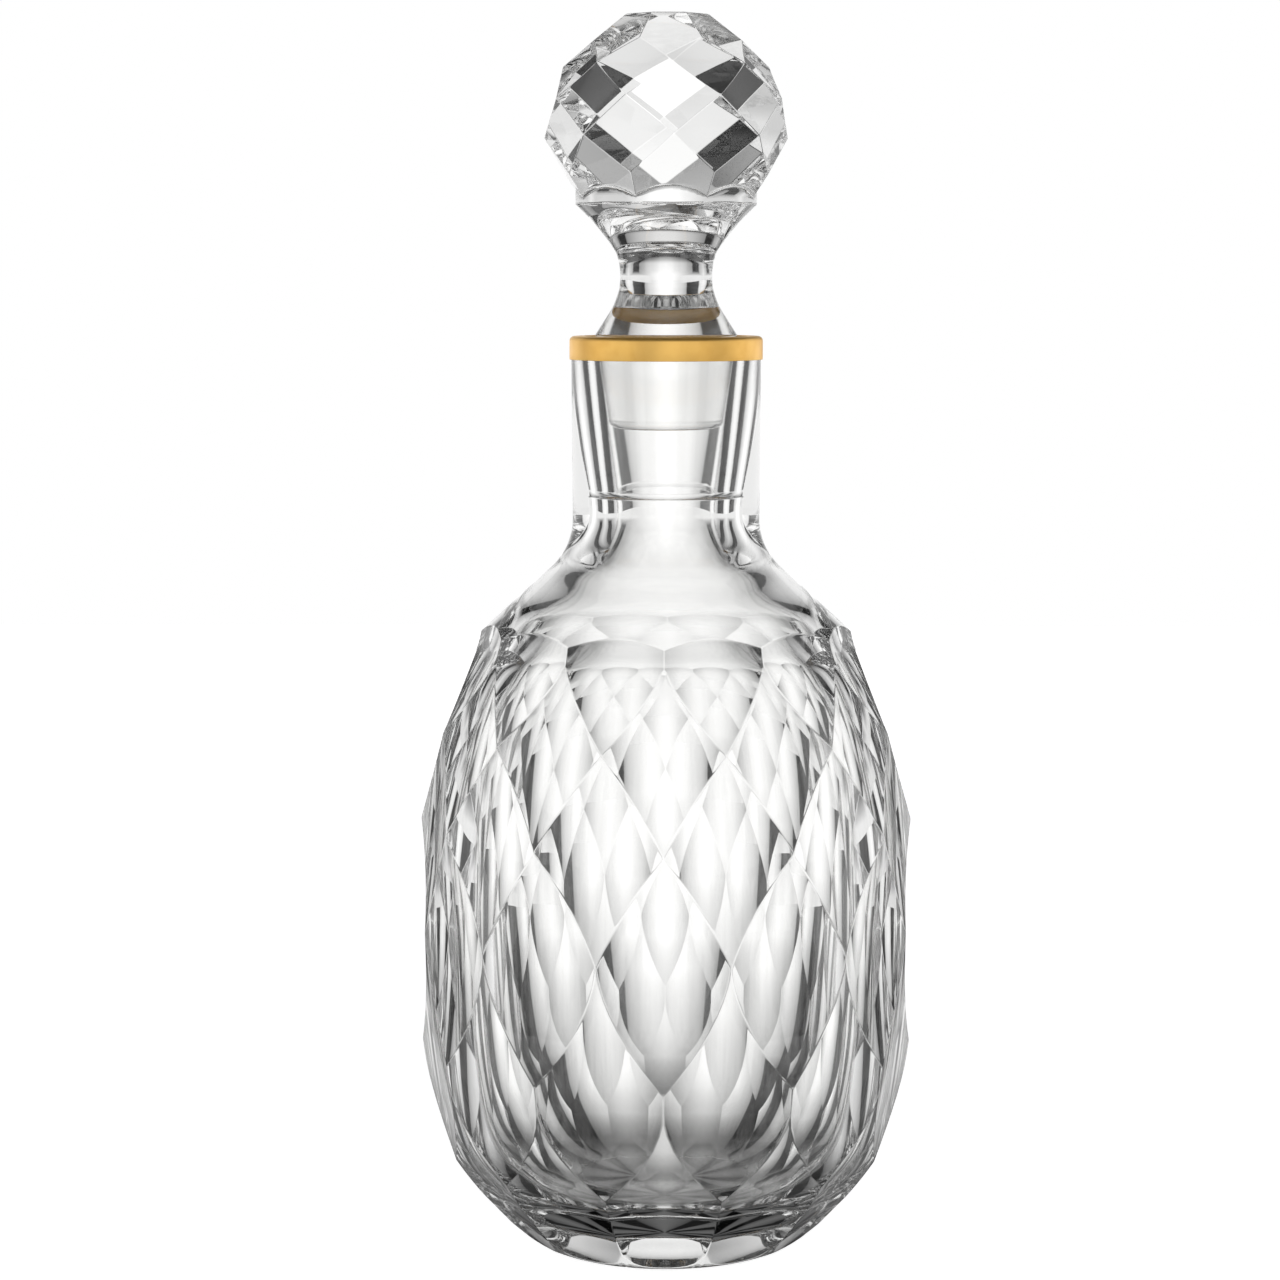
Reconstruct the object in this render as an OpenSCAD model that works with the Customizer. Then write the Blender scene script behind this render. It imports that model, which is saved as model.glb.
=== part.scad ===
// Cut crystal decanter: a blown bottle with a staggered pattern of hollow
// lozenges, a gilded lip, and a solid stopper with a faceted ball head.
// Millimetres, +Z up. The origin is the centre of the face that it rests on.

/* [Bottle] */
// Height of the bottle from its foot to its rim
bottle_h = 224.6; // [200:0.2:250]
// Greatest radius of the body, measured at the crossings of its ridges
body_r = 60.8; // [54:0.2:66]
// Height of the scalloped line where the cut pattern meets the smooth shoulder
shoulder_z = 152.7; // [146:0.1:160]
// Outer radius of the neck
neck_r = 22.9; // [21.5:0.1:25]
// Radius of the hollow curve between the neck and the shoulder
neck_fillet = 16; // [6:0.5:18]
// Slope of the shoulder below the horizontal, in degrees
shoulder_slope = 42.5; // [40:0.5:46]
// Radius of the flat foot
foot_r = 27; // [24:0.5:33]
// Radius of the rounding between the foot and the lowest facets
foot_round = 14; // [10:0.5:16]
// Thickness of glass between the cavity and the widest ridges
wall = 7.6; // [5:0.2:9]
// Thickness of glass under the cavity
floor_t = 14.5; // [10:0.5:20]

/* [Cut pattern] */
// Radius of the grinding wheel's face, which dishes each body facet across
wheel_r = 167; // [100:1:400]
// Number of lozenge columns round the body
columns = 12; // [10:2:14]
// Flats made between one row of ridge crossings and the next
steps = 3; // [2:1:5]

/* [Neck] */
// Radius of the mouth
mouth_r = 17.4; // [16.5:0.1:18]
// Radius at the bottom of the ground socket
socket_end_r = 12.1; // [11:0.1:13]
// Depth of the ground socket below the rim
socket_depth = 38.6; // [30:0.2:42]
// Rounding of the lip's outer edge
lip_round = 0.8; // [0.4:0.1:1.2]

/* [Gold band] */
// Height of the gilded band on the outside of the lip
band_h = 5.3; // [3:0.1:9]
// Thickness of the gilding
band_t = 0.4; // [0.3:0.05:0.6]
// Width of bare rim left between the gilding and the mouth
band_inset = 2.6; // [0.8:0.1:3]

/* [Stopper] */
// Height of the ball head's turned collar above the rim
head_rise = 32.2; // [26:0.1:40]
// Radius of the turned collar under the ball head
collar_r = 22.1; // [18:0.1:24]
// Greatest radius of the ball head
ball_r = 29.6; // [24:0.1:36]
// Height of the ball head from its collar to its flat top
ball_h = 45.5; // [42:0.1:52]
// Number of facet columns round the ball head
ball_columns = 8; // [6:1:10]
// Turn of the ball head's facets from the bottle's, in degrees
head_turn = 4; // [0:1:45]
// Radius of the stem at its waist
waist_r = 11.2; // [9:0.1:14]
// Height of the waist above the rim
waist_rise = 15.2; // [13:0.1:17]
// Length of the ground plug below the rim
plug_len = 22.2; // [16:0.1:30]
// Rounding of the plug's lower edge
plug_round = 2.2; // [1:0.1:3]
// Gap between the ground plug and its socket, measured on the radius
plug_gap = 0.15; // [0.1:0.05:0.3]

/* [Hidden] */
$fn = 96;

// Half of a column's angle, and the least angle that a facet keeps at its tips
body_half = 180 / columns;
ball_half = 180 / ball_columns;
tip_angle = 0.6;
// How far the lowest facets lean out for each millimetre that they rise
chamfer = 0.88;
// A radius that clears every cut, and the lip's own radius
clear_r = body_r + 4;
neck_top_r = neck_r + 0.3;

// Rows of ridge crossings on the body: [height, radius]. From the second row up
// the crossings lie in turn between the columns and on them. The last row is
// above the scalloped line and only gives the top facets their curve.
row_rise = [0.089, 0.15, 0.329, 0.523, 0.694, 0.845, 0.971, 1.152];
row_reach = [0.762, 0.877, 0.998, 1, 0.997, 0.92, 0.765, 0.543];
body_rows = [for (i = [0:len(row_rise) - 1]) [row_rise[i] * shoulder_z, row_reach[i] * body_r]];

// The crest, where the shoulder starts: the top facets reach it in a steep scoop
crest = [shoulder_z, 0.748 * body_r];
body_hollow = 0.5 / wheel_r;

// Rows of crossings on the ball head, as shares of its height and greatest
// radius. The first, third and fifth lie between the columns.
ball_rise = [0.156, 0.35, 0.55, 0.725, 0.855];
ball_reach = [0.878, 1, 0.99, 0.845, 0.652];
ball_z = bottle_h + head_rise;
stopper_top = ball_z + ball_h;
ball_rows = [for (i = [0:len(ball_rise) - 1]) [ball_z + ball_rise[i] * ball_h, ball_reach[i] * ball_r]];

// The parabola through three [height, radius] points
function bow(z, a, b, c) =
    a[1] * (z - b[0]) * (z - c[0]) / ((a[0] - b[0]) * (a[0] - c[0]))
    + b[1] * (z - a[0]) * (z - c[0]) / ((b[0] - a[0]) * (b[0] - c[0]))
    + c[1] * (z - a[0]) * (z - b[0]) / ((c[0] - a[0]) * (c[0] - b[0]));

// A row's crossing as seen by a facet whose side corner lies on that row
function side(row, half, hollow = 0) =
    [row[0], row[1] * cos(half) - hollow * pow(row[1] * sin(half), 2)];

// Distance from the axis to the facets that have their lower tip on row i
function lozenge(z, rows, i, half, hollow = 0) =
    bow(z, rows[i], side(rows[i + 1], half, hollow), rows[i + 2]);
function on_line(z, a, b) = a[1] + (b[1] - a[1]) * (z - a[0]) / (b[0] - a[0]);

// Facets centred on the columns (A) and between them (B) of the body
function body_side(row) = side(row, body_half, body_hollow);
function body_lozenge(z, i) = lozenge(z, body_rows, i, body_half, body_hollow);
function body_a(z) =
    z < body_rows[0][0] ? body_side(body_rows[0])[1] + (z - body_rows[0][0]) * chamfer
    : z < body_rows[2][0]
    ? bow(z, body_side(body_rows[0]), body_side(body_rows[1]), body_rows[2])
    : z < body_rows[4][0] ? body_lozenge(z, 2)
    : z < body_rows[6][0] ? body_lozenge(z, 4) : clear_r;
function body_b(z) =
    z < body_rows[1][0] ? clear_r
    : z < body_rows[3][0] ? body_lozenge(z, 1)
    : z < body_rows[5][0] ? body_lozenge(z, 3)
    : z < body_rows[6][0] ? body_lozenge(z, 5)
    : on_line(min(z, crest[0] + 4), body_side(body_rows[6]), body_side(crest));

// The same two families on the ball head. Past the last crossings only the
// facets on the columns go on, straight down to the collar and up to the top.
function ball_side(i) = side(ball_rows[i], ball_half);
function ball_a(z) =
    z < ball_rows[1][0] ? on_line(z, ball_side(0), ball_rows[1])
    : z < ball_rows[3][0] ? lozenge(z, ball_rows, 1, ball_half)
    : on_line(z, ball_rows[3], ball_side(4));
function ball_b(z) =
    z < ball_rows[0][0] || z > ball_rows[4][0] ? clear_r
    : z < ball_rows[2][0] ? lozenge(z, ball_rows, 0, ball_half)
    : lozenge(z, ball_rows, 2, ball_half);

// Radius of one facet, dished or flat, at an angle from its middle
function facet(middle, angle, hollow) =
    2 * middle / (cos(angle) + sqrt(max(0, pow(cos(angle), 2)
        - 4 * hollow * middle * pow(sin(angle), 2))));

// One ring of points: column centre, ridge, between columns, ridge, and so on.
// The ridge angle is where a column facet and its neighbour have one radius.
function ridge_angle(a, b, half, hollow) = let (
    r = 0.5 * (a + b) / cos(0.5 * half),
    lean = 2 * r * sin(0.5 * half) + 2 * hollow * r * r * sin(half)
) min(half - tip_angle, max(tip_angle, 0.5 * half + (b - a) / lean * 180 / PI));
function at(r, angle, z) = [r * cos(angle), r * sin(angle), z];
function ring(z, a, b, half, count, hollow = 0) = let (
    t = ridge_angle(min(a, b + 20), min(b, a + 20), half, hollow),
    r = min(facet(a, t, hollow), facet(b, half - t, hollow)),
    ra = min(a, facet(b, half, hollow)),
    rb = min(b, facet(a, half, hollow))
) [for (i = [0:count - 1], k = [0:3])
    k == 0 ? at(ra, 2 * i * half - 90, z)
    : k == 1 ? at(r, 2 * i * half + t - 90, z)
    : k == 2 ? at(rb, (2 * i + 1) * half - 90, z)
    : at(r, 2 * (i + 1) * half - t - 90, z)];

// A closed solid from a stack of rings that all have n points
function middle(r) = [0, 0, r[0][2]];
module skin(rings, n) {
    last = len(rings) - 1;
    foot = len(rings) * n;
    walls = [for (j = [0:last - 1], i = [0:n - 1]) let (k = (i + 1) % n)
        each [[j * n + i, (j + 1) * n + i, (j + 1) * n + k], [j * n + i, (j + 1) * n + k, j * n + k]]];
    ends = [for (i = [0:n - 1]) let (k = (i + 1) % n)
        each [[foot, i, k], [foot + 1, last * n + k, last * n + i]]];
    points = concat([for (r = rings) each r], [middle(rings[0]), middle(rings[last])]);
    polyhedron(points = points, faces = concat(walls, ends), convexity = 4);
}

// Heights of the rings: every row, with even steps between the rows
function row_steps(rows, count) =
    [for (i = [0:len(rows) - 2], k = [0:count - 1])
        rows[i][0] + (rows[i + 1][0] - rows[i][0]) * k / count];

// A smooth curve through points, for the cavity and the stem
function pick(p, i) = p[min(len(p) - 1, max(0, i))];
function curve(p, n) = [for (i = [0:len(p) - 2], k = [0:n - 1]) let (
    t = k / n, a = pick(p, i - 1), b = p[i], c = p[i + 1], d = pick(p, i + 2)
) b + 0.5 * t * (c - a + t * (2 * a - 5 * b + 4 * c - d + t * (3 * (b - c) + d - a)))];

// Points of an arc round [x, z], from one angle to another
function arc(x, z, r, from, to, n) =
    [for (k = [0:n]) [x + r * cos(from + (to - from) * k / n), z + r * sin(from + (to - from) * k / n)]];

// The turned envelope of the bottle: foot, room for the cuts, shoulder, neck, lip
fillet_z = shoulder_z + (crest[1] - neck_r - neck_fillet * (1 - cos(90 - shoulder_slope)))
    * tan(shoulder_slope) + neck_fillet * sin(90 - shoulder_slope);
foot_turn = 40;
module envelope() {
    bead = arc(foot_r, foot_round, foot_round, -90, foot_turn - 90, 8);
    bead_end = bead[len(bead) - 1];
    lip = arc(neck_top_r - lip_round, bottle_h - lip_round, lip_round, 0, 90, 4);
    fillet = arc(neck_r + neck_fillet, fillet_z, neck_fillet, 270 - shoulder_slope, 180, 8);
    outline = concat(
        [[0, 0]],
        bead,
        [[clear_r, bead_end[1] + (clear_r - bead_end[0]) * tan(foot_turn)]],
        [[clear_r, fillet[0][1] - (clear_r - fillet[0][0]) * tan(shoulder_slope)]],
        fillet,
        lip,
        [[0, bottle_h]]
    );
    rotate_extrude() polygon(outline);
}

// The body's facets as a solid, running up past the neck without touching it
module body_cuts() {
    heights = concat([-1], row_steps([for (i = [0:6]) body_rows[i]], steps), [body_rows[6][0]]);
    low = [for (z = heights)
        ring(z, body_a(z), body_b(z), body_half, columns, body_hollow)];
    high = [for (z = [crest[0] + 4, bottle_h + 5])
        ring(z, clear_r, body_b(z), body_half, columns, body_hollow)];
    skin(concat(low, high), 4 * columns);
}

// The blown cavity, the ground socket and the mouth
in_r = body_r - wall;
neck_z = bottle_h - socket_depth;
throat_r = socket_end_r + 0.2;
throat_h = min(neck_z - shoulder_z, 1.2 * (fillet_z - shoulder_z));
module cavity() {
    points = [
        [0, floor_t],
        [0.56 * in_r, floor_t + 1],
        [0.86 * in_r, floor_t + 9],
        [0.975 * in_r, 0.29 * shoulder_z],
        [in_r, 0.52 * shoulder_z],
        [0.97 * in_r, 0.72 * shoulder_z],
        [0.86 * in_r, 0.88 * shoulder_z],
        [0.65 * in_r, shoulder_z],
        [0.43 * in_r, shoulder_z + 0.32 * throat_h],
        [throat_r + 3, shoulder_z + 0.56 * throat_h],
        [throat_r, shoulder_z + 0.8 * throat_h],
        [throat_r, neck_z]
    ];
    socket = [
        [socket_end_r, neck_z],
        [mouth_r, bottle_h],
        [mouth_r, bottle_h + 5],
        [0, bottle_h + 5]
    ];
    rotate_extrude() polygon(concat(curve(points, 4), socket));
}

module bottle() {
    color([0.86, 0.89, 0.9, 0.5])
        difference() {
            intersection() {
                envelope();
                body_cuts();
            }
            cavity();
        }
}

// The gilding wraps the outside of the lip and turns in over the rim
module gold_band() {
    outer_r = neck_top_r + band_t;
    corner = lip_round + band_t;
    inner_arc = arc(neck_top_r - lip_round, bottle_h - lip_round, lip_round, 90, 0, 4);
    outer_arc = arc(outer_r - corner, bottle_h + band_t - corner, corner, 0, 90, 4);
    color([0.86, 0.67, 0.31])
        rotate_extrude() polygon(concat(
            [[mouth_r + band_inset, bottle_h]],
            inner_arc,
            [[neck_top_r, bottle_h - band_h]],
            [[outer_r, bottle_h - band_h]],
            outer_arc,
            [[mouth_r + band_inset, bottle_h + band_t]]
        ));
}

// The ball head's facets as a solid
module ball_cuts() {
    heights = concat([ball_z + 0.5], [for (r = ball_rows) r[0]], [stopper_top]);
    rings = [for (z = heights) ring(z, ball_a(z), ball_b(z), ball_half, ball_columns)];
    rotate([0, 0, head_turn]) skin(rings, 4 * ball_columns);
}

// The plug, the flare, the waist and the collar are turned in one
module stopper() {
    taper = (mouth_r - socket_end_r) / socket_depth;
    plug_z = bottle_h - plug_len;
    plug_r = mouth_r - plug_gap - plug_len * taper;
    flare_r = mouth_r - plug_gap;
    waist_z = bottle_h + waist_rise;
    stem_h = ball_z - waist_z;
    collar_top = 0.5 * (ball_z + ball_rows[0][0]) + 1.4;
    edge = arc(plug_r - plug_round, plug_z + plug_round, plug_round, -90, 0, 5);
    stem = curve([
        [0.7 * waist_r + 0.3 * flare_r, waist_z - 0.51 * waist_rise],
        [waist_r + 0.4, waist_z - 0.25 * waist_rise],
        [waist_r, waist_z],
        [waist_r + 0.5, waist_z + 0.21 * stem_h],
        [waist_r + 1.7, waist_z + 0.38 * stem_h],
        [0.42 * waist_r + 0.58 * collar_r, waist_z + 0.73 * stem_h],
        [collar_r, ball_z]
    ], 4);
    color([0.88, 0.9, 0.91, 0.6]) union() {
        rotate_extrude() polygon(concat(
            [[0, plug_z]],
            edge,
            [[flare_r, bottle_h]],
            [[flare_r, bottle_h + 2 * band_t]],
            stem,
            [[collar_r, ball_z]],
            [[collar_r, collar_top]],
            [[0, collar_top]]
        ));
        ball_cuts();
    }
}

bottle();
gold_band();
stopper();
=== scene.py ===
import math

import bmesh
import bpy
import numpy as np
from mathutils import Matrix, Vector


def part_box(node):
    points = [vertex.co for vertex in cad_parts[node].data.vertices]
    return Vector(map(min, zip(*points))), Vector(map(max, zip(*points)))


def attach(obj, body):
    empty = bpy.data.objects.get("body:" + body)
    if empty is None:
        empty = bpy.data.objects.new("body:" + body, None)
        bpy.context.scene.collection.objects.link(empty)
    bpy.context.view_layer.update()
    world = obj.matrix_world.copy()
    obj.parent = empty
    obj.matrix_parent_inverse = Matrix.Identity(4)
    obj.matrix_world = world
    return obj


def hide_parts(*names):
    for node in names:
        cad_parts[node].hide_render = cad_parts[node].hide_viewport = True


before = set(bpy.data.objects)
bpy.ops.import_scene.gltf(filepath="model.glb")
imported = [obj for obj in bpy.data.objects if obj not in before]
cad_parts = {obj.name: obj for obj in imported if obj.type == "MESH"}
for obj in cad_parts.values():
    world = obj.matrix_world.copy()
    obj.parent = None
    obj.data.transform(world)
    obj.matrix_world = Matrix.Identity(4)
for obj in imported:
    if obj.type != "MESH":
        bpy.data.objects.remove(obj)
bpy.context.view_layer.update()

mm = 0.001
rimZ = Vector(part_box("bottle")[1]).z / mm
headTopZ = Vector(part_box("stopper")[1]).z / mm
print("frame loaded, rim at", round(rimZ, 1), "mm, top at", round(headTopZ, 1), "mm")

# the shapes below are worked out in millimetres and radians
farAway = 90.0  # a radius beyond every facet
halvings = 40  # times that a search for a crossing halves its span
mergeGap = 0.004  # points closer than this are one
sliver = 0.002  # edges shorter than this are dropped


# lesser and greater of two radii, blended where they are within k of each other
def softMin(a, b, k):
    return np.minimum(a, b) - np.maximum(k - np.abs(a - b), 0) ** 2 / (4 * k)


def softMax(a, b, k):
    return np.maximum(a, b) + np.maximum(k - np.abs(a - b), 0) ** 2 / (4 * k)


# radius at height z on the parabola through three (height, radius) points
def bow(z, a, b, c):
    ab, ac, bc = a[0] - b[0], a[0] - c[0], b[0] - c[0]
    return (
        a[1] * (z - b[0]) * (z - c[0]) / (ab * ac)
        - b[1] * (z - a[0]) * (z - c[0]) / (ab * bc)
        + c[1] * (z - a[0]) * (z - b[0]) / (ac * bc)
    )


# radius at height z on the line through two (height, radius) points
def onLine(z, a, b):
    return a[1] + (b[1] - a[1]) * (z - a[0]) / (b[0] - a[0])


# smooth curve through every point, with even steps between them
def smoothCurve(points, steps):
    result = []
    last = len(points) - 1
    for i in range(last):
        a, b = np.array(points[max(i - 1, 0)]), np.array(points[i])
        c, d = np.array(points[i + 1]), np.array(points[min(i + 2, last)])
        for k in range(steps):
            t = k / steps
            cubic = 2 * a - 5 * b + 4 * c - d + t * (3 * (b - c) + d - a)
            result.append(b + 0.5 * t * (c - a + t * cubic))
    result.append(np.array(points[last]))
    return result


# arc round (x, z) from one angle to another, in degrees
def arcPoints(x, z, r, start, end, steps):
    turns = np.radians(np.linspace(start, end, steps + 1))
    return [np.array([x + r * math.cos(a), z + r * math.sin(a)]) for a in turns]


# the two staggered families of cut facets round an axis
class CutPattern:
    innerSteps = (0, 0.22, 0.44, 0.64, 0.83, 1)
    outerSteps = (0, 0.17, 0.36, 0.56, 0.78, 1)

    def __init__(self, columns, rows, soft, halfWidth, hollow=0.0):
        self.half = math.pi / columns
        self.columns = columns
        self.rows = rows
        self.soft = soft
        self.halfWidth = halfWidth
        self.hollow = hollow

    # a crossing at height z and radius r, seen by the facet that has its side corner there
    def corner(self, z, r):
        across = r * math.sin(self.half)
        return (z, r * math.cos(self.half) - self.hollow * across**2)

    def side(self, i):
        return self.corner(*self.rows[i])

    def lozenge(self, z, i):
        return bow(z, self.rows[i], self.side(i + 1), self.rows[i + 2])

    # radius of one facet at an angle from its middle, dished across by the wheel
    def facet(self, middle, t):
        bend = np.cos(t) ** 2 - 4 * self.hollow * middle * np.sin(t) ** 2
        return 2 * middle / (np.cos(t) + np.sqrt(np.maximum(bend, 0)))

    # angle of the ridge from a column's centre
    def ridge(self, z):
        a, b = float(self.onColumn(z)), float(self.between(z))
        low, high = 0.0, self.half
        for _ in range(halvings):
            t = 0.5 * (low + high)
            if self.facet(a, t) < self.facet(b, self.half - t):
                low = t
            else:
                high = t
        return 0.5 * (low + high)

    # angles from a column's centre to halfway to the next, close at the ridge
    def ladder(self, ridge, radius):
        w = self.halfWidth / radius
        a, b = max(ridge - w, 0), min(ridge + w, self.half)
        inner = [max(a - 0.6 * w, 0) * s for s in self.innerSteps]
        near = [a, max(ridge - 0.4 * w, 0), ridge, min(ridge + 0.4 * w, self.half), b]
        start = min(b + 0.6 * w, self.half)
        outer = [start + (self.half - start) * s for s in self.outerSteps]
        return np.array([*inner, *near, *outer])

    # radius of the whole cut surface, the nearest of its facets
    def radius(self, t, z):
        on, off = self.onColumn(z), self.between(z)
        r = softMin(self.facet(on, t), self.facet(off, self.half - t), self.soft)
        r = softMin(r, self.facet(off, self.half + t), self.soft)
        return softMin(r, self.facet(on, 2 * self.half - t), self.soft)


# the bottle's cuts, down to the foot and up to the crest
class BodyCut(CutPattern):
    # radius of the facets centred on the columns
    def onColumn(self, z):
        z = np.asarray(z, float)
        rows = self.rows
        foot = bow(z, self.side(0), self.side(1), rows[2])
        chamfer = self.side(0)[1] + (z - rows[0][0]) * self.chamfer
        low = softMin(chamfer, foot, self.chamferSoft)
        choices = [low, self.lozenge(z, 2), self.lozenge(z, 4)]
        return np.select([z < rows[2][0], z < rows[4][0], z < rows[6][0]], choices, farAway)

    # radius of the facets centred between the columns
    def between(self, z):
        z = np.asarray(z, float)
        rows = self.rows
        # the wheel runs out of the top row in a steep scoop under the crest
        scoop = onLine(z, self.side(6), self.corner(*self.crest))
        top = softMax(self.lozenge(z, 5), scoop, self.scoopSoft)
        choices = [np.full_like(z, farAway), self.lozenge(z, 1), self.lozenge(z, 3)]
        limits = [z < rows[1][0], z < rows[3][0], z < rows[5][0]]
        return np.select(limits, choices, top)


# the stopper's cuts; those on the columns run straight down to the collar and up to the top
class HeadCut(CutPattern):
    def onColumn(self, z):
        z = np.asarray(z, float)
        rows = self.rows
        choices = [onLine(z, self.side(0), rows[1]), self.lozenge(z, 1)]
        return np.select([z < rows[1][0], z < rows[3][0]], choices, onLine(z, rows[3], self.side(4)))

    def between(self, z):
        z = np.asarray(z, float)
        rows = self.rows
        none = np.full_like(z, farAway)
        choices = [none, self.lozenge(z, 0), self.lozenge(z, 2)]
        return np.select([z < rows[0][0], z < rows[2][0], z <= rows[4][0]], choices, none)


# half a column's points (angle, radius, height) mirrored and repeated to a ring
def fullRing(t, r, z, columns, turn=0.0):
    half = math.pi / columns
    t, r, z = [np.broadcast_to(np.asarray(v, float), t.shape) for v in (t, r, z)]
    angles = np.concatenate([t, 2 * half - t[-2:0:-1]])
    radii = np.concatenate([r, r[-2:0:-1]])
    heights = np.concatenate([z, z[-2:0:-1]])
    start = turn - math.pi / 2
    turns = np.concatenate([angles + 2 * i * half + start for i in range(columns)])
    radii, heights = np.tile(radii, columns), np.tile(heights, columns)
    return np.stack([radii * np.cos(turns), radii * np.sin(turns), heights], 1)


def newPiece(name, points, faces, material, clean):
    mesh = bpy.data.meshes.new(name)
    mesh.from_pydata(points, [], faces)
    bm = bmesh.new()
    bm.from_mesh(mesh)
    if clean:
        bmesh.ops.remove_doubles(bm, verts=bm.verts, dist=mergeGap * mm)
        bmesh.ops.dissolve_degenerate(bm, edges=bm.edges, dist=sliver * mm)
    bmesh.ops.recalc_face_normals(bm, faces=bm.faces)
    bm.to_mesh(mesh)
    bm.free()
    mesh.shade_smooth()
    mesh.materials.append(material)
    piece = bpy.data.objects.new(name, mesh)
    bpy.context.scene.collection.objects.link(piece)
    return piece


# closed solid from rings of equal length, with a point at each end
def solidOfRings(name, rings, material):
    n = len(rings[0])
    points = np.concatenate(rings)
    ends = [[0, 0, rings[0][:, 2].mean()], [0, 0, rings[-1][:, 2].mean()]]
    points = np.concatenate([points, np.array(ends)]) * mm
    foot, top = len(points) - 2, len(points) - 1
    lastRing = (len(rings) - 1) * n
    faces = []
    for j in range(len(rings) - 1):
        for i in range(n):
            k = (i + 1) % n
            faces.append((j * n + i, j * n + k, (j + 1) * n + k, (j + 1) * n + i))
    for i in range(n):
        k = (i + 1) % n
        faces.append((foot, k, i))
        faces.append((top, lastRing + i, lastRing + k))
    return newPiece(name, points.tolist(), faces, material, clean=True)


# an empty shader group with named sockets
def newGroup(name, inputs, outputs):
    group = bpy.data.node_groups.new(name, "ShaderNodeTree")
    for label, kind, default in inputs:
        socket = group.interface.new_socket(label, in_out="INPUT", socket_type=kind)
        socket.default_value = default
    for label, kind in outputs:
        group.interface.new_socket(label, in_out="OUTPUT", socket_type=kind)
    return group, group.nodes.new("NodeGroupInput"), group.nodes.new("NodeGroupOutput")


# a math node; a and b are numbers or sockets
def addMath(tree, kind, a, b=None):
    node = tree.nodes.new("ShaderNodeMath")
    node.operation = kind
    for socket, value in zip(node.inputs, (a, b)):
        if value is None:
            continue
        if isinstance(value, (int, float)):
            socket.default_value = value
        else:
            tree.links.new(value, socket)
    return node.outputs[0]


# brightness along a ramp from (place, level) pairs; past its ends the level stays
def addRamp(tree, value, steps):
    whole = steps[-1][0]
    node = tree.nodes.new("ShaderNodeValToRGB")
    dots = node.color_ramp.elements
    while len(dots) < len(steps):
        dots.new(0.5)
    for dot, (place, level) in zip(dots, steps):
        dot.position = place / whole
        dot.color = (level, level, level, 1)
    tree.links.new(addMath(tree, "DIVIDE", value, whole), node.inputs["Fac"])
    return node.outputs["Color"]


# white and dark cards round the set, repeated every so many degrees
def addCards(tree, place, every, around):
    split = tree.nodes.new("ShaderNodeSeparateXYZ")
    tree.links.new(place, split.inputs[0])
    x, y, z = split.outputs
    turn = addMath(tree, "MULTIPLY", addMath(tree, "ARCTAN2", x, y), 180 / math.pi)
    fold = addMath(tree, "PINGPONG", addMath(tree, "ABSOLUTE", turn), every / 2)
    return addRamp(tree, fold, around), z


fineTimes = 7.0  # how much closer the fine waves lie than the slow ones


# slow waves that acid polishing leaves in cut glass
def buildPolishWaves():
    inputs = [("Scale", "NodeSocketFloat", 60.0), ("Fine", "NodeSocketFloat", 0.2)]
    group, given, out = newGroup("polishWaves", inputs, [("Height", "NodeSocketFloat")])
    place = group.nodes.new("ShaderNodeTexCoord").outputs["Object"]
    slow = group.nodes.new("ShaderNodeTexNoise")
    slow.inputs["Detail"].default_value = 1.0
    group.links.new(place, slow.inputs["Vector"])
    group.links.new(given.outputs["Scale"], slow.inputs["Scale"])
    quick = group.nodes.new("ShaderNodeTexNoise")
    quick.inputs["Detail"].default_value = 2.0
    group.links.new(place, quick.inputs["Vector"])
    closer = addMath(group, "MULTIPLY", given.outputs["Scale"], fineTimes)
    group.links.new(closer, quick.inputs["Scale"])
    fine = addMath(group, "MULTIPLY", quick.outputs["Fac"], given.outputs["Fine"])
    group.links.new(addMath(group, "ADD", slow.outputs["Fac"], fine), out.inputs["Height"])
    return group


cloudRange = (0.42, 0.78)  # noise levels where the bloom starts and is full


# faint dust and finger bloom on polished surfaces
def buildBloom():
    inputs = [
        ("Scale", "NodeSocketFloat", 45.0),
        ("Low", "NodeSocketFloat", 0.0),
        ("High", "NodeSocketFloat", 0.03),
    ]
    group, given, out = newGroup("bloom", inputs, [("Value", "NodeSocketFloat")])
    place = group.nodes.new("ShaderNodeTexCoord").outputs["Object"]
    cloud = group.nodes.new("ShaderNodeTexNoise")
    cloud.inputs["Detail"].default_value = 4.0
    cloud.inputs["Distortion"].default_value = 0.6
    group.links.new(place, cloud.inputs["Vector"])
    group.links.new(given.outputs["Scale"], cloud.inputs["Scale"])
    spread = group.nodes.new("ShaderNodeMapRange")
    spread.inputs["From Min"].default_value = cloudRange[0]
    spread.inputs["From Max"].default_value = cloudRange[1]
    group.links.new(cloud.outputs["Fac"], spread.inputs["Value"])
    group.links.new(given.outputs["Low"], spread.inputs["To Min"])
    group.links.new(given.outputs["High"], spread.inputs["To Max"])
    group.links.new(spread.outputs["Result"], out.inputs["Value"])
    return group


lineScale = 60.0  # how fast the ground lines change on the way round


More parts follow.
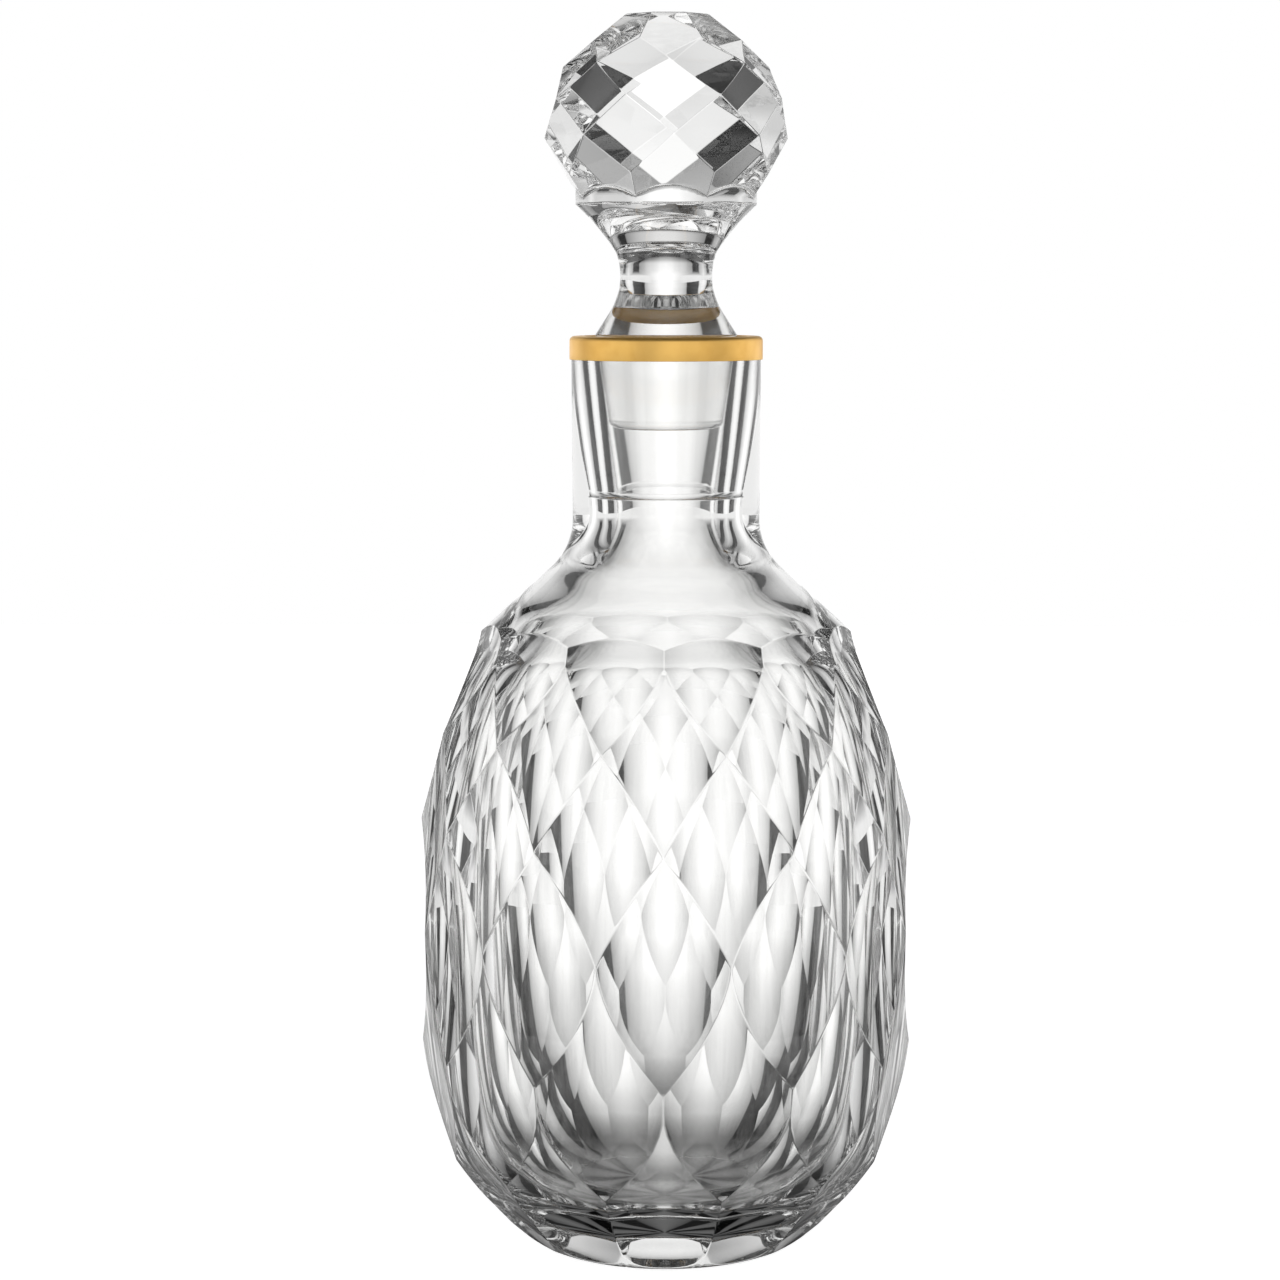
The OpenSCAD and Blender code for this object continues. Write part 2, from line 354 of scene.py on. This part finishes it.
# turning and grinding marks: fine level lines inside a height and radius
def buildGroundLines():
    inputs = [
        ("Bottom", "NodeSocketFloat", 0.0),
        ("Top", "NodeSocketFloat", 1.0),
        ("Radius", "NodeSocketFloat", 0.02),
        ("Pitch", "NodeSocketFloat", 0.0006),
    ]
    outputs = [("Mask", "NodeSocketFloat"), ("Height", "NodeSocketFloat")]
    group, given, out = newGroup("groundLines", inputs, outputs)
    place = group.nodes.new("ShaderNodeTexCoord").outputs["Object"]
    split = group.nodes.new("ShaderNodeSeparateXYZ")
    group.links.new(place, split.inputs[0])
    x, y, z = split.outputs
    square = [addMath(group, "MULTIPLY", side, side) for side in (x, y)]
    radius = addMath(group, "SQRT", addMath(group, "ADD", *square))
    above = addMath(group, "GREATER_THAN", z, given.outputs["Bottom"])
    below = addMath(group, "LESS_THAN", z, given.outputs["Top"])
    within = addMath(group, "LESS_THAN", radius, given.outputs["Radius"])
    mask = addMath(group, "MULTIPLY", addMath(group, "MULTIPLY", above, below), within)
    stretch = group.nodes.new("ShaderNodeCombineXYZ")
    group.links.new(addMath(group, "MULTIPLY", x, lineScale), stretch.inputs[0])
    group.links.new(addMath(group, "MULTIPLY", y, lineScale), stretch.inputs[1])
    group.links.new(addMath(group, "DIVIDE", z, given.outputs["Pitch"]), stretch.inputs[2])
    lines = group.nodes.new("ShaderNodeTexNoise")
    lines.inputs["Scale"].default_value = 1.0
    lines.inputs["Detail"].default_value = 3.0
    group.links.new(stretch.outputs[0], lines.inputs["Vector"])
    group.links.new(mask, out.inputs["Mask"])
    group.links.new(addMath(group, "MULTIPLY", lines.outputs["Fac"], mask), out.inputs["Height"])
    return group


polishWaves = buildPolishWaves()
bloom = buildBloom()
groundLines = buildGroundLines()


# a copy of a group in a material, with its own values
def placeGroup(tree, group, **values):
    node = tree.nodes.new("ShaderNodeGroup")
    node.node_tree = group
    for label, value in values.items():
        node.inputs[label].default_value = value
    return node


# polished lead crystal, with rougher glass where plug and socket are ground
crystalLook = {
    "colour": (0.993, 0.993, 0.987, 1.0),
    "ior": 1.545,
    "waveScale": 55.0,
    "waveStrength": 0.035,
    "waveFine": 0.05,
    "waveDepth": 0.001,
    "hazeScale": 40.0,
    "hazeMost": 0.012,
    "groundRough": 0.07,
    "groundStrength": 0.25,
    "groundDepth": 0.00005,
    "groundBelow": 0.2,
    "groundOutside": 0.4,
}


def crystalMaterial(name, groundBottom, groundTop, groundRadius, look=crystalLook):
    material = bpy.data.materials.new(name)
    material.use_nodes = True
    tree = material.node_tree
    shader = tree.nodes["Principled BSDF"]
    shader.inputs["Base Color"].default_value = look["colour"]
    shader.inputs["Metallic"].default_value = 0.0
    shader.inputs["Transmission Weight"].default_value = 1.0
    shader.inputs["IOR"].default_value = look["ior"]
    haze = placeGroup(tree, bloom, Scale=look["hazeScale"], Low=0.0, High=look["hazeMost"])
    ground = placeGroup(tree, groundLines, Bottom=groundBottom, Top=groundTop, Radius=groundRadius)
    groundRough = addMath(tree, "MULTIPLY", ground.outputs["Mask"], look["groundRough"])
    rough = addMath(tree, "ADD", haze.outputs["Value"], groundRough)
    tree.links.new(rough, shader.inputs["Roughness"])
    waves = placeGroup(tree, polishWaves, Scale=look["waveScale"], Fine=look["waveFine"])
    wavy = tree.nodes.new("ShaderNodeBump")
    wavy.inputs["Strength"].default_value = look["waveStrength"]
    wavy.inputs["Distance"].default_value = look["waveDepth"]
    tree.links.new(waves.outputs["Height"], wavy.inputs["Height"])
    lined = tree.nodes.new("ShaderNodeBump")
    lined.inputs["Strength"].default_value = look["groundStrength"]
    lined.inputs["Distance"].default_value = look["groundDepth"]
    tree.links.new(ground.outputs["Height"], lined.inputs["Height"])
    tree.links.new(wavy.outputs["Normal"], lined.inputs["Normal"])
    tree.links.new(lined.outputs["Normal"], shader.inputs["Normal"])
    return material


# satin gold with cloudy tone and fine brush lines
goldLook = {
    "bright": (0.86, 0.53, 0.15, 1.0),
    "deep": (0.78, 0.45, 0.11, 1.0),
    "patchScale": 120.0,
    "rough": 0.42,
    "hazeScale": 300.0,
    "hazeMore": 0.1,
    "linePitch": 0.0003,
    "lineStrength": 0.2,
    "lineDepth": 0.00003,
}


def goldMaterial(name, look=goldLook):
    material = bpy.data.materials.new(name)
    material.use_nodes = True
    tree = material.node_tree
    shader = tree.nodes["Principled BSDF"]
    shader.inputs["Metallic"].default_value = 1.0
    patch = placeGroup(tree, bloom, Scale=look["patchScale"], Low=0.0, High=1.0)
    mix = tree.nodes.new("ShaderNodeMix")
    mix.data_type = "RGBA"
    mix.inputs["A"].default_value = look["bright"]
    mix.inputs["B"].default_value = look["deep"]
    tree.links.new(patch.outputs["Value"], mix.inputs["Factor"])
    tree.links.new(mix.outputs["Result"], shader.inputs["Base Color"])
    roughest = look["rough"] + look["hazeMore"]
    haze = placeGroup(tree, bloom, Scale=look["hazeScale"], Low=look["rough"], High=roughest)
    tree.links.new(haze.outputs["Value"], shader.inputs["Roughness"])
    pitch = look["linePitch"]
    brushed = placeGroup(tree, groundLines, Bottom=0.0, Top=1.0, Radius=1.0, Pitch=pitch)
    lined = tree.nodes.new("ShaderNodeBump")
    lined.inputs["Strength"].default_value = look["lineStrength"]
    lined.inputs["Distance"].default_value = look["lineDepth"]
    tree.links.new(brushed.outputs["Height"], lined.inputs["Height"])
    tree.links.new(lined.outputs["Normal"], shader.inputs["Normal"])
    return material


# the bottle in millimetres; rise and reach place the rows of crossings as shares of
# shoulderZ and bodyR
bottle = {
    "columns": 12,
    "bodyR": 60.8,
    "shoulderZ": 152.7,
    "crestR": 45.5,
    "rise": [0.089, 0.15, 0.329, 0.523, 0.694, 0.845, 0.971, 1.152],
    "reach": [0.762, 0.877, 0.998, 1.0, 0.997, 0.92, 0.765, 0.543],
    "hollow": 0.003,
    "scoopSoft": 0.8,
    "chamfer": 0.88,
    "chamferSoft": 0.06,
    "footSoft": 0.12,
    "crestSoft": 0.1,
    "footR": 27.0,
    "footRound": 14.0,
    "footTurn": 40.0,
    "neckR": 22.9,
    "neckFillet": 16.0,
    "shoulderSlope": 42.5,
    "lipGrow": 0.3,
    "lipRound": 0.8,
    "ridgeSoft": 0.09,
    "ridgeHalf": 0.42,
    "ladderR": 60,
    "footLadderR": 42,
    "crestLadderR": 46,
    "scallopReach": 9,
    "wall": 7.6,
    "floor": 14.5,
    "mouthR": 17.4,
    "mouthEdge": 0.25,
    "mouthEase": 0.07,
    "socketEndR": 12.1,
    "socketDepth": 38.6,
    "throatGrow": 0.2,
}
# where the rings lie, as shares of each stretch, close together at the ridges
bottleRings = {
    "underFoot": (0.3, 0.6, 0.85, 0.97, 1.0),
    "footRound": (0.12, 0.25, 0.4, 0.55, 0.7, 0.85),
    "overFoot": (0.15, 0.4, 0.7, 0.9),
    "row": (0, 0.03, 0.08, 0.15, 0.25, 0.36, 0.5, 0.64, 0.75, 0.85, 0.92, 0.97),
    "topRow": (0, 0.06, 0.14, 0.25, 0.38, 0.52, 0.66, 0.8, 0.91),
    "shoulder": (0.08, 0.2, 0.35, 0.5, 0.65, 0.8, 0.92),
    "neck": (0.15, 0.3, 0.45, 0.6, 0.75, 0.9),
    "socket": 24,
    "cavity": 9,
}
edgeReach = 0.3  # how far a rounded edge spreads to each side
edgeNear = 0.12  # where the first ring on each side of an edge lies


def buildBottle(size, ringsAt, material):
    rows = [(f * size["shoulderZ"], r * size["bodyR"]) for f, r in zip(size["rise"], size["reach"])]
    crest = (size["shoulderZ"], size["crestR"])
    cuts = BodyCut(size["columns"], rows, size["ridgeSoft"], size["ridgeHalf"], size["hollow"])
    cuts.crest, cuts.scoopSoft = crest, size["scoopSoft"]
    cuts.chamfer, cuts.chamferSoft = size["chamfer"], size["chamferSoft"]
    half = cuts.half
    even = np.linspace(0, half, len(cuts.ladder(0, size["ladderR"])))

    # foot rounding, then a straight run that clears the cuts
    footR, footRound = size["footR"], size["footRound"]
    turn = math.radians(size["footTurn"])
    beadR, beadZ = footR + footRound * math.sin(turn), footRound * (1 - math.cos(turn))

    def footEnvelope(z):
        z = np.asarray(z, float)
        drop = np.clip(footRound - z, 0, footRound)
        curve = footR + np.sqrt(footRound**2 - drop**2)
        return np.where(z < beadZ, curve, beadR + (z - beadZ) / math.tan(turn))

    # shoulder cone and the hollow curve into the neck
    slope = math.radians(size["shoulderSlope"])
    fillet, neckR = size["neckFillet"], size["neckR"]
    tangentR = neckR + fillet * (1 - math.sin(slope))
    tangentZ = crest[0] + (crest[1] - tangentR) * math.tan(slope)
    filletZ = tangentZ + fillet * math.cos(slope)

    def shoulder(z):
        return tangentR + (tangentZ - np.asarray(z, float)) / math.tan(slope)

    # height at which the cuts meet a turned surface, for each angle
    def meeting(t, envelope, low, high, cutsBelow):
        low, high = np.full_like(t, low), np.full_like(t, high)
        for _ in range(halvings):
            middle = 0.5 * (low + high)
            cutInside = cuts.radius(t, middle) < envelope(middle)
            up = cutInside if cutsBelow else ~cutInside
            low, high = np.where(up, middle, low), np.where(up, high, middle)
        return 0.5 * (low + high)

    rings = []

    def add(t, r, z):
        rings.append(fullRing(t, r, z, size["columns"]))

    for share in ringsAt["underFoot"]:
        add(even, share * footR, 0)
    footLadder = cuts.ladder(half, size["footLadderR"])
    footEnd = meeting(footLadder, footEnvelope, edgeReach, rows[0][0], False)
    footAngle = np.arccos(np.clip(1 - footEnd / footRound, -1, 1))
    for share in ringsAt["footRound"]:
        z = footRound * (1 - np.cos(np.minimum(footAngle, turn) * share))
        z = z + np.maximum(footEnd - beadZ, 0) * share
        add(footLadder, footEnvelope(z), z)
    for offset in (-edgeReach, -edgeNear, edgeNear, edgeReach):
        z = footEnd + offset
        r = softMin(cuts.radius(footLadder, z), footEnvelope(z), size["footSoft"])
        add(footLadder, r, z)
    for share in ringsAt["overFoot"]:
        z = footEnd + edgeReach + (rows[0][0] - 2 * edgeReach - footEnd) * share
        add(footLadder, cuts.radius(footLadder, z), z)

    # the rows of lozenges
    for i in range(6):
        (lowZ, _), (highZ, _) = rows[i], rows[i + 1]
        for share in ringsAt["row"]:
            z = lowZ + (highZ - lowZ) * share
            t = cuts.ladder(cuts.ridge(z), size["ladderR"])
            add(t, cuts.radius(t, z), z)

    # the top row runs up to its scalloped line, and the rings bend with it
    def scallop(t):
        return meeting(t, shoulder, rows[6][0], crest[0] + size["scallopReach"], True)

    tipLadder = cuts.ladder(0.0, size["crestLadderR"])
    line = scallop(tipLadder)
    for share in ringsAt["topRow"]:
        z = rows[6][0] + (line - rows[6][0]) * share
        add(tipLadder, cuts.radius(tipLadder, z), z)
    for offset in (-edgeNear, 0.0, edgeNear, edgeReach):
        z = line + offset
        r = softMin(cuts.radius(tipLadder, z), shoulder(z), size["crestSoft"])
        add(tipLadder, r, z)
    for share in ringsAt["shoulder"]:
        t = tipLadder + (even - tipLadder) * share
        start = scallop(t) + edgeReach
        z = start + (tangentZ - start) * share
        add(t, shoulder(z), z)

    # neck, lip, rim, socket and cavity are turned
    neckTopR = neckR + size["lipGrow"]
    lip = size["lipRound"]
    outline = arcPoints(neckR + fillet, filletZ, fillet, 270 - size["shoulderSlope"], 180, 14)
    neckLow, neckTop = outline[-1], (neckTopR, rimZ - lip)
    outline += [neckLow + (neckTop - neckLow) * share for share in ringsAt["neck"]]
    outline += arcPoints(neckTopR - lip, rimZ - lip, lip, 0, 90, 6)
    mouthR, edge, ease = size["mouthR"], size["mouthEdge"], size["mouthEase"]
    outline += [(mouthR + 2, rimZ), (mouthR + edge, rimZ), (mouthR + ease, rimZ - ease)]
    neckZ = rimZ - size["socketDepth"]
    endR = size["socketEndR"]
    for depth in np.linspace(edge, size["socketDepth"], ringsAt["socket"]):
        outline.append((mouthR + (endR - mouthR) * depth / size["socketDepth"], rimZ - depth))
    throatR = endR + size["throatGrow"]
    throatH = neckZ - size["shoulderZ"]
    inR, floorZ, top = size["bodyR"] - size["wall"], size["floor"], size["shoulderZ"]
    cavity = smoothCurve([
        (0, floorZ),
        (0.56 * inR, floorZ + 1),
        (0.86 * inR, floorZ + 9),
        (0.975 * inR, 0.29 * top),
        (inR, 0.52 * top),
        (0.97 * inR, 0.72 * top),
        (0.86 * inR, 0.88 * top),
        (0.65 * inR, top),
        (0.43 * inR, top + 0.32 * throatH),
        (throatR + 3, top + 0.56 * throatH),
        (throatR, top + 0.8 * throatH),
        (throatR, neckZ),
    ], ringsAt["cavity"])
    outline += list(reversed(cavity[1:]))
    for r, z in outline:
        add(even, r, z)
    return solidOfRings("crystalBottle", rings, material)


# the stopper in millimetres; rise and reach are shares of ballH and ballR
stopper = {
    "columns": 8,
    "ballR": 29.6,
    "ballH": 45.5,
    "collarR": 22.1,
    "rise": [0.156, 0.35, 0.55, 0.725, 0.855],
    "reach": [0.878, 1.0, 0.99, 0.845, 0.652],
    "turn": 4.0,
    "waistR": 11.2,
    "waistRise": 15.2,
    "plugLen": 22.2,
    "plugRound": 2.2,
    "plugGap": 0.15,
    "ridgeSoft": 0.09,
    "ridgeHalf": 0.3,
    "ladderR": 28,
    "topLadderR": 12,
    "topDrop": 0.2,
    "collarSoft": 0.12,
}
stopperRings = {
    "underPlug": (0.25, 0.5, 0.7),
    "plug": 18,
    "flare": (0.03, 0.25, 0.5, 0.75, 0.97),
    "stem": 9,
    "underBall": 18,
    "row": (0, 0.04, 0.12, 0.3, 0.5, 0.7, 0.88, 0.96),
    "topRow": 7,
    "top": ((0.995, 0.07), (0.975, 0.0), (0.9, 0.0), (0.5, 0.0)),  # share of the radius, drop
}


def buildStopper(size, ringsAt, socket, giltThick, material):
    ballZ = headTopZ - size["ballH"]
    shares = zip(size["rise"], size["reach"])
    rows = [(ballZ + f * size["ballH"], r * size["ballR"]) for f, r in shares]
    cuts = HeadCut(size["columns"], rows, size["ridgeSoft"], size["ridgeHalf"])
    even = np.linspace(0, cuts.half, len(cuts.ladder(0, size["ladderR"])))
    rings = []

    def add(t, r, z):
        rings.append(fullRing(t, r, z, size["columns"], math.radians(size["turn"])))

    taper = (socket["mouthR"] - socket["socketEndR"]) / socket["socketDepth"]
    plugZ = rimZ - size["plugLen"]
    flareR = socket["mouthR"] - size["plugGap"]
    plugR = flareR - size["plugLen"] * taper
    waistR, waistZ = size["waistR"], rimZ + size["waistRise"]
    stemH, collarR = ballZ - waistZ, size["collarR"]
    roundR = size["plugRound"]
    outline = [(plugR * share, plugZ) for share in ringsAt["underPlug"]]
    outline += arcPoints(plugR - roundR, plugZ + roundR, roundR, -90, 0, 8)
    start = plugZ + roundR
    for share in np.linspace(0.04, 1, ringsAt["plug"]):
        outline.append((plugR + (flareR - plugR) * share, start + (rimZ - start) * share))
    stem = smoothCurve([
        (0.7 * waistR + 0.3 * flareR, waistZ - 0.51 * size["waistRise"]),
        (waistR + 0.4, waistZ - 0.25 * size["waistRise"]),
        (waistR, waistZ),
        (waistR + 0.5, waistZ + 0.21 * stemH),
        (waistR + 1.7, waistZ + 0.38 * stemH),
        (0.42 * waistR + 0.58 * collarR, waistZ + 0.73 * stemH),
        (collarR, ballZ),
    ], ringsAt["stem"])
    flareTop = np.array((flareR, rimZ + 2 * giltThick))
    outline += [flareTop - (0, edgeReach), flareTop]
    outline += [flareTop + (stem[0] - flareTop) * share for share in ringsAt["flare"]]
    outline += stem[:-1]
    for r, z in outline:
        add(even, r, z)

    # the facets stand out of the turned collar
    def headRadius(t, z):
        if z > rows[1][0]:
            return cuts.radius(t, z)
        return softMax(cuts.radius(t, z), collarR, size["collarSoft"])

    heights = list(np.linspace(ballZ, rows[0][0], ringsAt["underBall"])[:-1])
    for i in range(4):
        (lowZ, _), (highZ, _) = rows[i], rows[i + 1]
        heights += [lowZ + (highZ - lowZ) * share for share in ringsAt["row"]]
    heights += list(np.linspace(rows[4][0], headTopZ - size["topDrop"], ringsAt["topRow"]))
    for z in heights:
        t = cuts.ladder(cuts.ridge(z), size["ladderR"])
        add(t, headRadius(t, z), z)
    # the flat top, with a fine bevel round it
    t = cuts.ladder(cuts.half, size["topLadderR"])
    tableR = cuts.radius(t, headTopZ)
    for share, drop in ringsAt["top"]:
        add(t, tableR * share, headTopZ - drop)
    return solidOfRings("crystalStopper", rings, material)


# the gilding, which wraps the lip and turns in over the rim; proud keeps it off the glass
band = {"height": 5.3, "thick": 0.4, "inset": 2.6, "roll": 0.1, "proud": 0.01, "steps": 192}


def buildBand(size, glass, material):
    topR = glass["neckR"] + glass["lipGrow"]
    lip, thick, roll, proud = glass["lipRound"], size["thick"], size["roll"], size["proud"]
    outerR, corner = topR + thick, lip + thick
    innerEdge = glass["mouthR"] + size["inset"]
    outline = [(innerEdge + roll, rimZ + proud)]
    outline += arcPoints(topR - lip, rimZ - lip, lip + proud, 90, 0, 6)
    outline += [(topR + proud, rimZ - size["height"] + roll)]
    outline += arcPoints(outerR - roll, rimZ - size["height"] + roll, roll, -90, 0, 3)
    outline += arcPoints(outerR - corner, rimZ + thick - corner, corner, 0, 90, 8)
    outline += arcPoints(innerEdge + roll, rimZ + thick - roll, roll, 90, 180, 3)
    points, faces, n, steps = [], [], len(outline), size["steps"]
    for i in range(steps):
        a = 2 * math.pi * i / steps
        points += [(r * math.cos(a) * mm, r * math.sin(a) * mm, z * mm) for r, z in outline]
        for j in range(n):
            nextRing, nextPoint = (i + 1) % steps * n, (j + 1) % n
            faces.append((i * n + j, nextRing + j, nextRing + nextPoint, i * n + nextPoint))
    return newPiece("goldBand", points, faces, material, clean=False)


# only the socket and the plug are ground, so the roughness keeps to their heights
socketLow = (rimZ - bottle["socketDepth"]) * mm
plugLow = (rimZ - stopper["plugLen"] - crystalLook["groundBelow"]) * mm
groundR = (bottle["mouthR"] + crystalLook["groundOutside"]) * mm
bottleGlass = crystalMaterial("bottleCrystal", socketLow, rimZ * mm, groundR)
stopperGlass = crystalMaterial("stopperCrystal", plugLow, rimZ * mm, groundR)
gilding = goldMaterial("burnishedGold")

bottlePiece = buildBottle(bottle, bottleRings, bottleGlass)
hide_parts("bottle")
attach(bottlePiece, "bottle")
print("bottle built,", len(bottlePiece.data.polygons), "faces")

stopperPiece = buildStopper(stopper, stopperRings, bottle, band["thick"], stopperGlass)
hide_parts("stopper")
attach(stopperPiece, "stopper")
print("stopper built,", len(stopperPiece.data.polygons), "faces")

bandPiece = buildBand(band, bottle, gilding)
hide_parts("gold_band")
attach(bandPiece, "bottle")
print("gilding built")

# the studio, in metres and degrees; the card lists are (degrees, brightness)
studio = {
    "floorSize": 3.0,
    "floorSeen": 0.9,
    # painted shadow: the floor's glow, dim near the decanter and full further out
    "floorGlowAndShadow": [(0.04, 0.1), (0.12, 0.6), (0.45, 1)],
    "floorRough": 0.7,
    # painted shade: the floor's base colour for rays through the glass
    "floorShadedTone": 0.06,
    "floorToneSeen": 0.7,
    "camDistance": 0.8309,
    "camHeight": 0.239,
    "camTurn": 0.5,
    "camDown": 6.089,
    "camAside": 0.44,
    "lens": 95.39,
    "sensor": 36.0,
    "nearest": 0.01,
    "lampTurns": (-58, 30, 122, 210),
    "lampSize": (0.9, 0.7),
    "lampAway": 0.8,
    "lampHeight": 0.3,
    "lampPower": 1.15,
    "backlight": 1.12,
    "every": 90,
    "around": [
        (0, 1), (5, 0.98), (10, 0.84), (16, 0.66), (21, 0.5),
        (26, 0.36), (27, 0.01), (35, 0.01), (37, 0.45), (45, 0.8),
    ],
    # painted light and shade on the floor: bright and dark cards in its glow
    "floorPaintedCards": [
        (0, 1), (5, 0.93), (10, 0.78), (15, 0.6), (19, 0.4),
        (20, 0.01), (35, 0.01), (37, 0.7), (45, 0.9),
    ],
    "upward": [(0, 1), (12, 0.9), (25, 0.7), (38, 0.4), (48, 0.05), (90, 0.02)],
    "roof": [(0, 0.75), (3, 0.4), (8, 0), (90, 0.08)],
    "bounces": 32,
    "glossBounces": 16,
}


def buildFloor(size):
    mesh = bpy.data.meshes.new("floor")
    s = size["floorSize"] / 2
    corners = [(-s, -s, 0), (s, -s, 0), (s, s, 0), (-s, s, 0)]
    mesh.from_pydata(corners, [], [(0, 1, 2, 3)])
    floor = bpy.data.objects.new("floor", mesh)
    bpy.context.scene.collection.objects.link(floor)
    material = bpy.data.materials.new("paleFloor")
    material.use_nodes = True
    tree = material.node_tree
    shader = tree.nodes["Principled BSDF"]
    shader.inputs["Roughness"].default_value = size["floorRough"]
    # plain white to the camera; in the glass its glow is painted light and shade: a painted shadow,
    # dim near the decanter and brightening outward, between painted dark cards
    place = tree.nodes.new("ShaderNodeTexCoord").outputs["Object"]
    length = tree.nodes.new("ShaderNodeVectorMath")
    length.operation = "LENGTH"
    tree.links.new(place, length.inputs[0])
    glow = addRamp(tree, length.outputs["Value"], size["floorGlowAndShadow"])
    around, _ = addCards(tree, place, size["every"], size["floorPaintedCards"])
    glow = addMath(tree, "MULTIPLY", addMath(tree, "MULTIPLY", glow, around), size["backlight"])
    seen = tree.nodes.new("ShaderNodeLightPath").outputs["Is Camera Ray"]
    lit = addMath(tree, "MAXIMUM", glow, addMath(tree, "MULTIPLY", seen, size["floorSeen"]))
    tree.links.new(lit, shader.inputs["Emission Color"])
    # painted shade: the floor's base colour is near black through the glass and pale only to the
    # camera
    tone = addMath(tree, "MULTIPLY", seen, size["floorToneSeen"])
    tone = addMath(tree, "ADD", tone, size["floorShadedTone"])
    tree.links.new(tone, shader.inputs["Base Color"])
    shader.inputs["Emission Strength"].default_value = 1.0
    mesh.materials.append(material)


def buildCamera(size):
    turn = math.radians(size["camTurn"])
    data = bpy.data.cameras.new("camera")
    data.lens = size["lens"]
    data.sensor_width = size["sensor"]
    data.clip_start = size["nearest"]
    camera = bpy.data.objects.new("camera", data)
    bpy.context.scene.collection.objects.link(camera)
    distance = size["camDistance"]
    x, y = distance * math.sin(turn), -distance * math.cos(turn)
    camera.location = (x, y, size["camHeight"])
    down, aside = math.radians(size["camDown"]), math.radians(size["camAside"])
    camera.rotation_euler = (math.pi / 2 - down, 0, turn + aside)
    bpy.context.scene.camera = camera


# white to the camera; through the glass, cards by angle round and angle up
def buildWorld(size):
    world = bpy.data.worlds.new("studioSky")
    bpy.context.scene.world = world
    world.use_nodes = True
    tree = world.node_tree
    back = tree.nodes["Background"]
    place = tree.nodes.new("ShaderNodeTexCoord").outputs["Generated"]
    around, z = addCards(tree, place, size["every"], size["around"])
    climb = addMath(tree, "MULTIPLY", addMath(tree, "ARCSINE", z), 180 / math.pi)
    upward = addRamp(tree, climb, size["upward"])
    roof = addRamp(tree, climb, size["roof"])
    light = addMath(tree, "MAXIMUM", addMath(tree, "MULTIPLY", around, upward), roof)
    light = addMath(tree, "MULTIPLY", light, size["backlight"])
    seen = tree.nodes.new("ShaderNodeLightPath").outputs["Is Camera Ray"]
    hidden = addMath(tree, "MULTIPLY", light, addMath(tree, "SUBTRACT", 1.0, seen))
    value = addMath(tree, "ADD", hidden, seen)
    tree.links.new(value, back.inputs["Color"])


# a soft lamp at an angle round the neck, lighting only the pieces given
def addLamp(name, turn, size, only):
    data = bpy.data.lights.new(name, "AREA")
    data.shape = "RECTANGLE"
    data.size, data.size_y = size["lampSize"]
    data.energy = size["lampPower"]
    lamp = bpy.data.objects.new(name, data)
    bpy.context.scene.collection.objects.link(lamp)
    away, aim = size["lampAway"], Vector((0, 0, rimZ * mm))
    angle = math.radians(turn)
    lamp.location = (away * math.sin(angle), -away * math.cos(angle), size["lampHeight"])
    lamp.rotation_euler = (aim - lamp.location).to_track_quat("-Z", "Y").to_euler()
    lit = bpy.data.collections.new(name + "Only")
    for piece in only:
        lit.objects.link(piece)
    lamp.light_linking.receiver_collection = lit


buildFloor(studio)
buildCamera(studio)
buildWorld(studio)
for turn in studio["lampTurns"]:
    addLamp("gildingLamp" + str(turn), turn, studio, [bandPiece])
print("studio built")

scene = bpy.context.scene
scene.view_settings.view_transform = "Standard"
scene.cycles.max_bounces = studio["bounces"]
scene.cycles.transmission_bounces = studio["bounces"]
scene.cycles.glossy_bounces = studio["glossBounces"]
